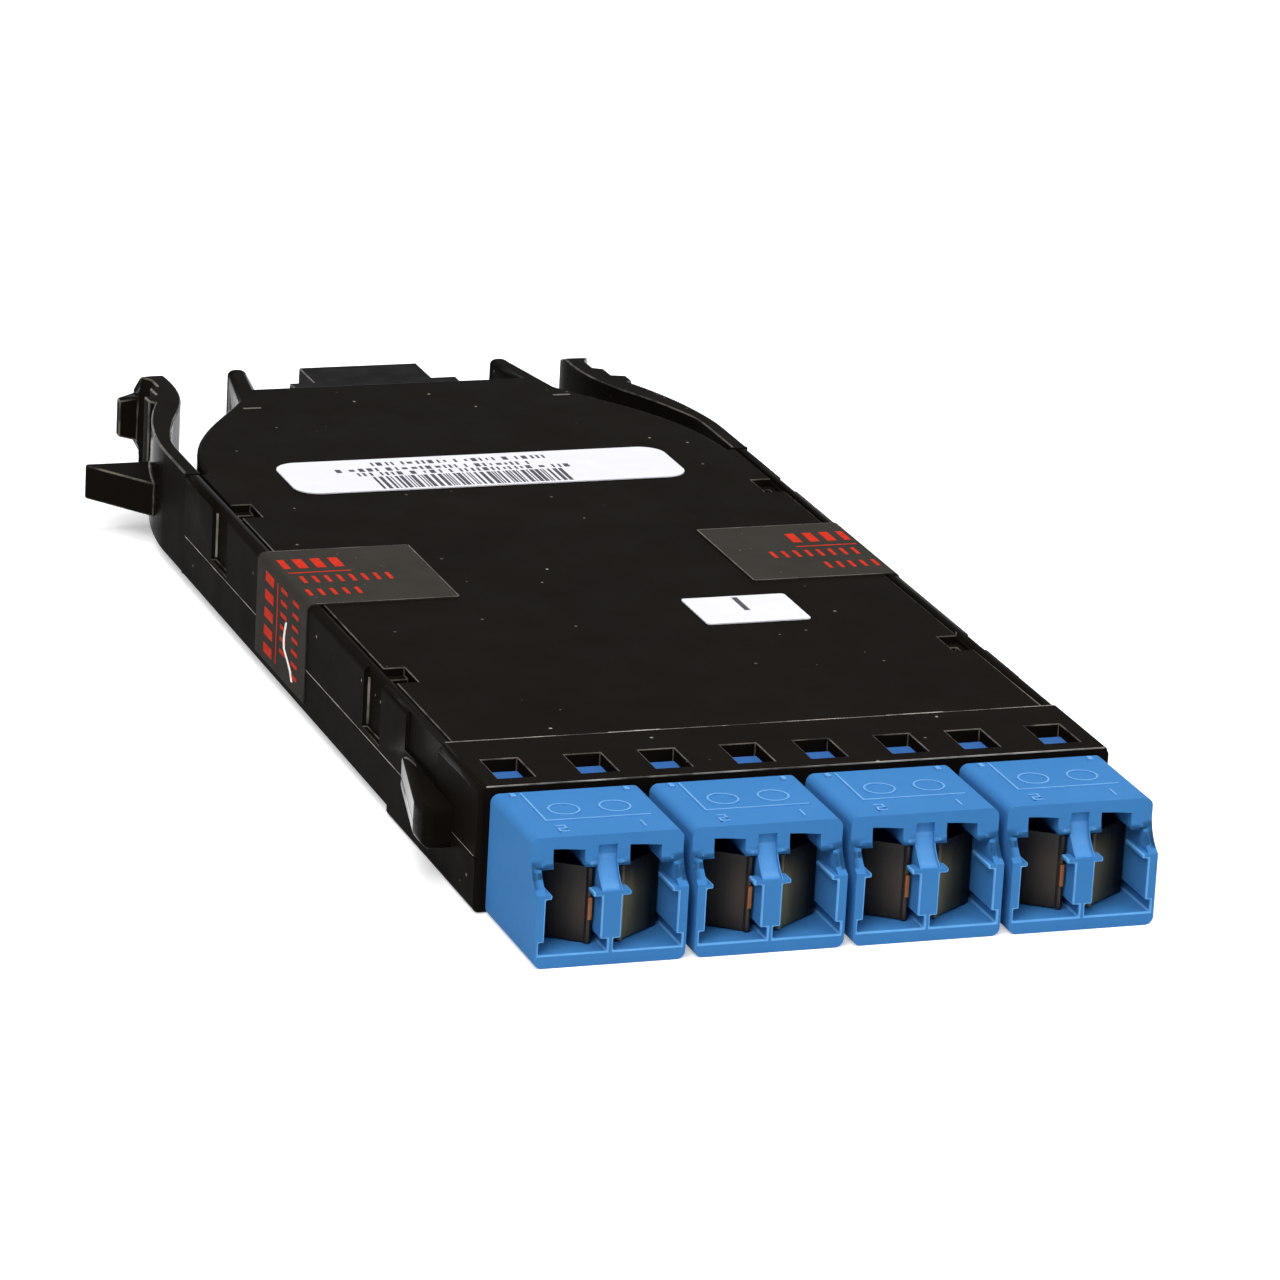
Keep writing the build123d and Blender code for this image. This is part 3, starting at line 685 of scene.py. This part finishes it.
# A darker and a paler copy of the one bronze: painted shade on the left leaves, painted
# light on the right.
BRONZE_SHADED = bronze_leaf("bronze_shaded", srgb(35, 28, 22), srgb(53, 43, 33))
BRONZE_LIT = bronze_leaf("bronze_lit", srgb(92, 86, 60), srgb(128, 120, 86))
COPPER = copper()
PAPER = label_paper()
INK = label_ink()
FILM = tape_film()
RED = tape_red()

# Widths of the rounds
COVER_ROUND = 0.16
TRAY_ROUND = 0.14
LEVER_ROUND = 0.18
REAR_ADAPTER_ROUND = 0.12
ADAPTER_ROUND = 0.14
SNAP_ROUND = 0.12
NOSE_ROUND = 0.8

# Lips on the plate
LIP_SIZE = (1.7, 0.35)
LIP_AT = (15.1, 105.2)
LIP_H = 0.05

# Web over the gap at a lever's root: the gap's reach either way from the hinge line
GAP_FRONT = 0.2
GAP_BACK = 0.15
WEB_W = 1.35
WEB_LAP = 0.04
WEB_Z = (1.0, 10.35)

# Painted highlights as pale lines: along the band's rear step, its front edge, the seam and
# the grooves
LINE_SEED = 11
LINE_HALF = 26.2
STEP_LENGTH = (2.0, 5.0)
STEP_Y = 10.68
STEP_WAVE = 0.03
STEP_HALF = 0.1
STEP_SINK = 0.05
STEP_RISE = (0.25, 0.295)
FRONT_LINE_Y = (0.03, 0.13)
FRONT_LINE_Z = (10.5, 10.62)
SEAM_X = (HALF_W - 0.03, HALF_W + 0.015)
SEAM_Y = (0.8, 85.5)
SEAM_Z = (4.61, 4.66)
GROOVE_X = HALF_W - 0.5
GROOVE_Y = (31.0, 77.0)
GROOVE_LINE = (0.14, 0.2)
GROOVE_Z = (5.4, 9.4)


def plate_lips():
    """Two small moulded lips on the plate, beside the roots of the rear horns, in the pale
    edge colour as a painted highlight.
    """
    for side, name in SIDES:
        mesh_data = bmesh.new()
        x, y = side * LIP_AT[0], LIP_AT[1]
        add_box(
            mesh_data,
            (x - LIP_SIZE[0] / 2, y - LIP_SIZE[1] / 2, PLATE_Z - LIP_H),
            (x + LIP_SIZE[0] / 2, y + LIP_SIZE[1] / 2, PLATE_Z + LIP_H),
        )
        finish_mesh(f"plate_lip_{name}", mesh_data, EDGE)


def lever_root(side, name):
    """The thin web of plastic that joins a lever to the housing."""
    mesh_data = bmesh.new()
    low_y, high_y = HINGE_Y - GAP_FRONT - WEB_LAP, HINGE_Y + GAP_BACK + WEB_LAP
    add_side_box(mesh_data, side, (HALF_W - WEB_W, HALF_W), (low_y, high_y), WEB_Z)
    mesh = finish_mesh(f"lever_root_{name}", mesh_data, BLACK, None)
    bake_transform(mesh)


def painted_highlight_lines():
    """The pale lines along the band's step and front edge, the seam and the grooves: real
    moulded edges, with their pale colour a painted highlight.
    """
    mesh_data = bmesh.new()
    draw = random.Random(LINE_SEED)
    x = -LINE_HALF
    while x < LINE_HALF:
        wide = min(draw.uniform(*STEP_LENGTH), LINE_HALF - x)
        y = STEP_Y + draw.uniform(-STEP_WAVE, STEP_WAVE)
        low, high = PLATE_Z - STEP_SINK, PLATE_Z + draw.uniform(*STEP_RISE)
        add_box(mesh_data, (x, y - STEP_HALF, low), (x + wide, y + STEP_HALF, high))
        x += wide
    near, far = zip(FRONT_LINE_Y, FRONT_LINE_Z)
    add_box(mesh_data, (-LINE_HALF, *near), (LINE_HALF, *far))
    for side, _ in SIDES:
        add_side_box(mesh_data, side, SEAM_X, SEAM_Y, SEAM_Z)
        for y in GROOVE_Y:
            add_side_box(
                mesh_data,
                side,
                (GROOVE_X, GROOVE_X + GROOVE_LINE[0]),
                (y - GROOVE_LINE[1], y),
                GROOVE_Z,
            )
    finish_mesh("painted_highlight_lines", mesh_data, BRIGHT)


def housing():
    """The black parts, with their lips, webs and lines of painted highlight."""
    # The rounds take the pale edge colour as a painted highlight.
    cover = (BLACK, EDGE, GLOSS)
    soften("top_cover", cover, COVER_ROUND, nose=NOSE_ROUND, picks=(lug_ramp,))
    soften("bottom_tray", cover, TRAY_ROUND, nose=NOSE_ROUND, picks=(lug_ramp,))
    for side, name in SIDES:
        soften(f"latch_lever_{name}", (BLACK, EDGE), LEVER_ROUND, f"lever_{name}")
        lever_root(side, name)
    soften("mpo_adapter", (adapter_black(), EDGE), REAR_ADAPTER_ROUND)
    plate_lips()
    painted_highlight_lines()


# Marks on an adapter's roof, with x counted from its middle
MARK_H = 0.09
MARK_SINK = 0.03
LINE_W = 0.16
BENT_LINE_X = (-4.0, 4.7)
BENT_LINE_Y = (-7.0, -0.7)
RING_AT = ((-1.7, -4.8), (2.5, -4.8))
RING_R = 1.3
NUMERALS = ((-3.2, "2"), (3.4, "1"))
NUMERAL_Y = -9.0
NUMERAL_H = 1.2
NUB_X = 4.7
NUB_HALF = 0.2
NUB_Y = (-1.5, -0.8)
NUB_RISE = 0.06


def adapter_marks(index, x):
    """Moulded marks on an adapter's roof: a bent line, rings, numerals and two nubs, in the
    paler edge blue as a painted highlight.
    """
    mesh_data = bmesh.new()
    low, high = ADAPTER_TOP - MARK_SINK, ADAPTER_TOP + MARK_H
    start, end = (x + dx for dx in BENT_LINE_X)
    front, back = BENT_LINE_Y
    add_box(mesh_data, (start, front, low), (start + LINE_W, back, high))
    add_box(mesh_data, (start, front - LINE_W, low), (end, front, high))
    for dx, y in RING_AT:
        add_ring(mesh_data, (x + dx, y), RING_R, RING_R - LINE_W, low, high)
    for dx, digit in NUMERALS:
        add_digit(mesh_data, digit, (x + dx, NUMERAL_Y), NUMERAL_H, LINE_W, low, high)
    for dx in (-NUB_X, NUB_X):
        add_box(
            mesh_data,
            (x + dx - NUB_HALF, NUB_Y[0], low),
            (x + dx + NUB_HALF, NUB_Y[1], high + NUB_RISE),
        )
    finish_mesh(f"adapter_marks_{index + 1}", mesh_data, BLUE_EDGE)


# Tops of the snaps, two to an adapter
SNAP_PITCH = 6.95
SNAP_W = 2.4
SNAP_Y = (2.0, 4.95)
SNAP_Z = (8.9, 10.0)


def adapter_snaps(index, x):
    """The tops of an adapter's two snaps, which show in the cover's windows."""
    mesh_data = bmesh.new()
    for side in (-1, 1):
        middle = x + side * SNAP_PITCH / 2
        add_box(
            mesh_data,
            (middle - SNAP_W / 2, SNAP_Y[0], SNAP_Z[0]),
            (middle + SNAP_W / 2, SNAP_Y[1], SNAP_Z[1]),
        )
    bmesh.ops.bevel(
        mesh_data,
        geom=mesh_data.edges[:],
        offset=SNAP_ROUND * MM,
        segments=STEPS,
        profile=0.5,
        affect="EDGES",
    )
    finish_mesh(f"adapter_snaps_{index + 1}", mesh_data, BLUE_SHADE)


def adapters():
    """The four blue adapters, with their roof marks and snaps."""
    for index in range(ADAPTER_COUNT):
        x = adapter_x(index)
        # The deep port faces take a painted shade; the curve and the rounds take paler blues
        # as painted highlights.
        soften(
            f"lc_adapter_{index + 1}",
            (BLUE, BLUE_EDGE, PORT_PAINTED_SHADE, BLUE_GLOSS),
            ADAPTER_ROUND,
            picks=(deep_in_port, port_curve),
        )
        adapter_marks(index, x)
        adapter_snaps(index, x)


# Bright edge of a leaf, in front of its pin
TAB_HALF = 0.16
TAB_Y = (LEAF_PIN_Y - 0.42, LEAF_PIN_Y - 0.2)
TAB_Z = (3.2, 5.0)


def leaf_edge(number, x):
    """The bright rolled edge of the leaf in an adapter's left port, beside its pin."""
    mesh_data = bmesh.new()
    pin = x + LEAF_PIN_X
    add_box(
        mesh_data,
        (pin - TAB_HALF, TAB_Y[0], TAB_Z[0]),
        (pin + TAB_HALF, TAB_Y[1], TAB_Z[1]),
    )
    finish_mesh(f"leaf_edge_{number}", mesh_data, COPPER, f"leaf_{number}")


def leaves():
    """Each port's leaf, the left one in a darker copy of the bronze as painted shade and the
    right one in a paler copy as painted light. Only the left one of an adapter shows its
    bright edge.
    """
    for index in range(ADAPTER_COUNT):
        left, right = 2 * index + 1, 2 * index + 2
        paint(f"shutter_leaf_{left}", BRONZE_SHADED)
        paint(f"shutter_leaf_{right}", BRONZE_LIT)
        leaf_edge(left, adapter_x(index) - PORT_PITCH / 2)


def inner_parts():
    """The parts inside the housing, which only need a plain material."""
    pale = inner_plastic()
    for number in range(1, PORT_COUNT + 1):
        paint(f"inner_plug_{number}", pale)
    paint("mpo_plug", pale)
    paint("fibres", fibre_coat())


# Print on the labels: rows of strokes as y and the x of both ends, then upright bars
FILM_T = 0.1
LABEL_Z = PLATE_Z + FILM_T
INK_H = 0.02
INK_SINK = 0.02
PRINT_SEED = 4
TEXT_ROWS = ((85.9, -9.5, 7.1), (84.25, -13.3, 5.6), (82.95, -11.6, 8.3))
TEXT_H = 0.95
TEXT_HEIGHTS = (TEXT_H, TEXT_H, TEXT_H * 0.6)
TEXT_WIDTHS = (0.2, 0.24, 0.5)
TEXT_GAPS = (0.3, 0.4, 0.75)
CODE_SPAN = (-10.5, 7.2)
CODE_ROWS = (78.5, 82.1)
CODE_WIDTHS = (0.12, 0.12, 0.24, 0.36)
CODE_GAPS = (0.12, 0.18, 0.3)
LABEL_NUMERAL_AT = (9.9, 41.3)
LABEL_NUMERAL_H = 3.0
LABEL_NUMERAL_STROKE = 0.5


def rear_label_print():
    """Plain strokes for the print rows and a plain bar pattern on the long label."""
    mesh_data = bmesh.new()
    low, high = LABEL_Z - INK_SINK, LABEL_Z + INK_H
    draw = random.Random(PRINT_SEED)
    for y, start, end in TEXT_ROWS:
        x = start
        while x < end:
            wide = draw.choice(TEXT_WIDTHS)
            tall = draw.choice(TEXT_HEIGHTS)
            add_box(mesh_data, (x, y - tall / 2, low), (x + wide, y + tall / 2, high))
            x += wide + draw.choice(TEXT_GAPS)
    x = CODE_SPAN[0]
    while x < CODE_SPAN[1]:
        wide = draw.choice(CODE_WIDTHS)
        add_box(mesh_data, (x, CODE_ROWS[0], low), (x + wide, CODE_ROWS[1], high))
        x += wide + draw.choice(CODE_GAPS)
    finish_mesh("rear_label_print", mesh_data, INK)


def port_label_print():
    """A plain numeral on the small label."""
    mesh_data = bmesh.new()
    low, high = LABEL_Z - INK_SINK, LABEL_Z + INK_H
    add_digit(
        mesh_data, "1", LABEL_NUMERAL_AT, LABEL_NUMERAL_H, LABEL_NUMERAL_STROKE, low, high
    )
    finish_mesh("port_label_print", mesh_data, INK)


def labels():
    """The two labels and their print."""
    for node in ("rear_label", "port_label"):
        paint(node, PAPER)
    rear_label_print()
    port_label_print()


# Seal strips, with x counted outwards from the middle
TAPE_TOP = PLATE_Z + FILM_T
TAPE_WALL = HALF_W + FILM_T
TAPE_ROWS = (
    # y of the row, its height, the x of its start, the z of its end, stroke and gap
    (58.4, 2.5, 20.6, 1.9, 0.85, 0.75),
    (55.95, 0.2, 20.4, 2.4, 6.0, 0.0),
    (54.0, 1.8, 17.4, 3.2, 0.34, 0.75),
    (50.5, 1.7, 21.2, 2.6, 0.34, 0.75),
)
TAPE_BEND = 0.75


def tape_print(side, name):
    """Plain red strokes in rows along the seal strip and on down the side wall."""
    mesh_data = bmesh.new()
    on_top = (TAPE_TOP - INK_SINK, TAPE_TOP + INK_H)
    on_wall = (TAPE_WALL - INK_SINK, TAPE_WALL + INK_H)
    for y, tall, start, bottom, stroke, gap in TAPE_ROWS:
        low_y, high_y = y - tall / 2, y + tall / 2
        x = start
        while x < HALF_W - TAPE_BEND:
            end = min(x + stroke, HALF_W - TAPE_BEND)
            add_side_box(mesh_data, side, (x, end), (low_y, high_y), on_top)
            x += stroke + gap
        z = PLATE_Z - TAPE_BEND
        while z > bottom:
            end = max(z - stroke, bottom)
            add_side_box(mesh_data, side, on_wall, (low_y, high_y), (end, z))
            z -= stroke + gap
    finish_mesh(f"tape_print_{name}", mesh_data, RED)


# Wrinkle on the left wall, as y and z of its ridge
CREASE = ((53.1, 7.0), (53.6, 5.6), (53.5, 4.6), (52.4, 3.9), (51.4, 3.2), (50.9, 2.4))
CREASE_W = 0.22
CREASE_H = 0.12
CREASE_SINK = 0.02


def tape_crease():
    """A small wrinkle in the seal film on the left wall."""
    mesh_data = bmesh.new()
    rows = []
    for y, z in CREASE:
        rows.append(
            [
                mesh_data.verts.new(at(-TAPE_WALL + CREASE_SINK, y - CREASE_W, z)),
                mesh_data.verts.new(at(-TAPE_WALL - CREASE_H, y, z)),
                mesh_data.verts.new(at(-TAPE_WALL + CREASE_SINK, y + CREASE_W, z)),
            ]
        )
    for first, second in zip(rows, rows[1:]):
        for index in range(3):
            after = (index + 1) % 3
            mesh_data.faces.new((first[index], first[after], second[after], second[index]))
    mesh_data.faces.new(rows[0])
    mesh_data.faces.new(rows[-1])
    finish_mesh("tape_crease", mesh_data, film_glare())


# Outline of a seal strip on the cover, and its cut edge
TAPE_SPAN = (47.35, 62.25)
TAPE_IN = 13.3
RIM = 0.12
RIM_Z = (TAPE_TOP - 0.03, TAPE_TOP + 0.01)


def tape_rim(side, name):
    """The cut edges of a seal strip, which catch the light."""
    mesh_data = bmesh.new()
    for y in (TAPE_SPAN[0], TAPE_SPAN[1] - RIM):
        add_side_box(mesh_data, side, (TAPE_IN, HALF_W - TAPE_BEND), (y, y + RIM), RIM_Z)
    add_side_box(mesh_data, side, (TAPE_IN, TAPE_IN + RIM), TAPE_SPAN, RIM_Z)
    finish_mesh(f"tape_rim_{name}", mesh_data, EDGE)


def tapes():
    """The two seal strips, with their print and cut edges, and the left one's wrinkle."""
    for side, name in SIDES:
        paint(f"tamper_tape_{name}", FILM)
        tape_print(side, name)
        tape_rim(side, name)
    tape_crease()


# Studio: lengths in metres, power in watts ------------------------------------------
LAMPS = (
    # name, place, size and power
    ("key", (-0.55, -0.65, 0.9), 0.7, 11),
    ("fill", (0.8, -0.5, 0.6), 0.8, 5),
    ("top", (0, 0.1, 1.2), 0.9, 8),
)
LAMP_AIM = (0, 0, 0)
FLOOR_REACH = 6.0
FLOOR_DROP = 0.00002


def add_light(name, place, size, power):
    """A square lamp that looks at the middle of the object."""
    data = bpy.data.lights.new(name, "AREA")
    data.shape = "SQUARE"
    data.size = size
    data.energy = power
    lamp = bpy.data.objects.new(name, data)
    lamp.location = place
    lamp.rotation_mode = "QUATERNION"
    lamp.rotation_quaternion = (Vector(LAMP_AIM) - Vector(place)).to_track_quat("-Z", "Y")
    bpy.context.scene.collection.objects.link(lamp)


# Sky light: the heights between which it grows, and its strength at both
SKY_RISE = (0.5, 0.9)
SKY_STRENGTH = (0.03, 0.45)
SKY_COLOUR = (0.86, 0.88, 0.92, 1)
BACKGROUND_STRENGTH = 1.0


def make_world():
    """Soft light from overhead, and a white background that gloss shows as well."""
    world = bpy.data.worlds.new("studio")
    world.use_nodes = True
    nodes = world.node_tree.nodes
    links = world.node_tree.links
    sky = nodes["Background"]
    sky.inputs["Color"].default_value = SKY_COLOUR
    place = nodes.new("ShaderNodeTexCoord").outputs["Generated"]
    split = nodes.new("ShaderNodeSeparateXYZ")
    links.new(place, split.inputs["Vector"])
    rise = nodes.new("ShaderNodeMapRange")
    for name, value in (
        ("From Min", SKY_RISE[0]),
        ("From Max", SKY_RISE[1]),
        ("To Min", SKY_STRENGTH[0]),
        ("To Max", SKY_STRENGTH[1]),
    ):
        rise.inputs[name].default_value = value
    links.new(split.outputs["Z"], rise.inputs["Value"])
    seen = background_seen(nodes, links)
    pick = nodes.new("ShaderNodeMix")
    links.new(seen, pick.inputs["Factor"])
    links.new(rise.outputs["Result"], pick.inputs[2])
    pick.inputs[3].default_value = BACKGROUND_STRENGTH
    links.new(pick.outputs[0], sky.inputs["Strength"])
    bpy.context.scene.world = world


def studio():
    """The floor, the background and the lamps."""
    mesh = bpy.data.meshes.new("floor")
    reach = FLOOR_REACH
    mesh.from_pydata(
        [(-reach, -reach, 0), (reach, -reach, 0), (reach, reach, 0), (-reach, reach, 0)],
        [],
        [(0, 1, 2, 3)],
    )
    mesh.materials.append(white_floor())
    floor = bpy.data.objects.new("floor", mesh)
    floor.location.z = -FLOOR_DROP
    bpy.context.scene.collection.objects.link(floor)
    make_world()
    for lamp in LAMPS:
        add_light(*lamp)
    bpy.context.scene.view_settings.view_transform = "Standard"


make_camera()
housing()
adapters()
leaves()
inner_parts()
labels()
tapes()
studio()

bpy.context.view_layer.update()
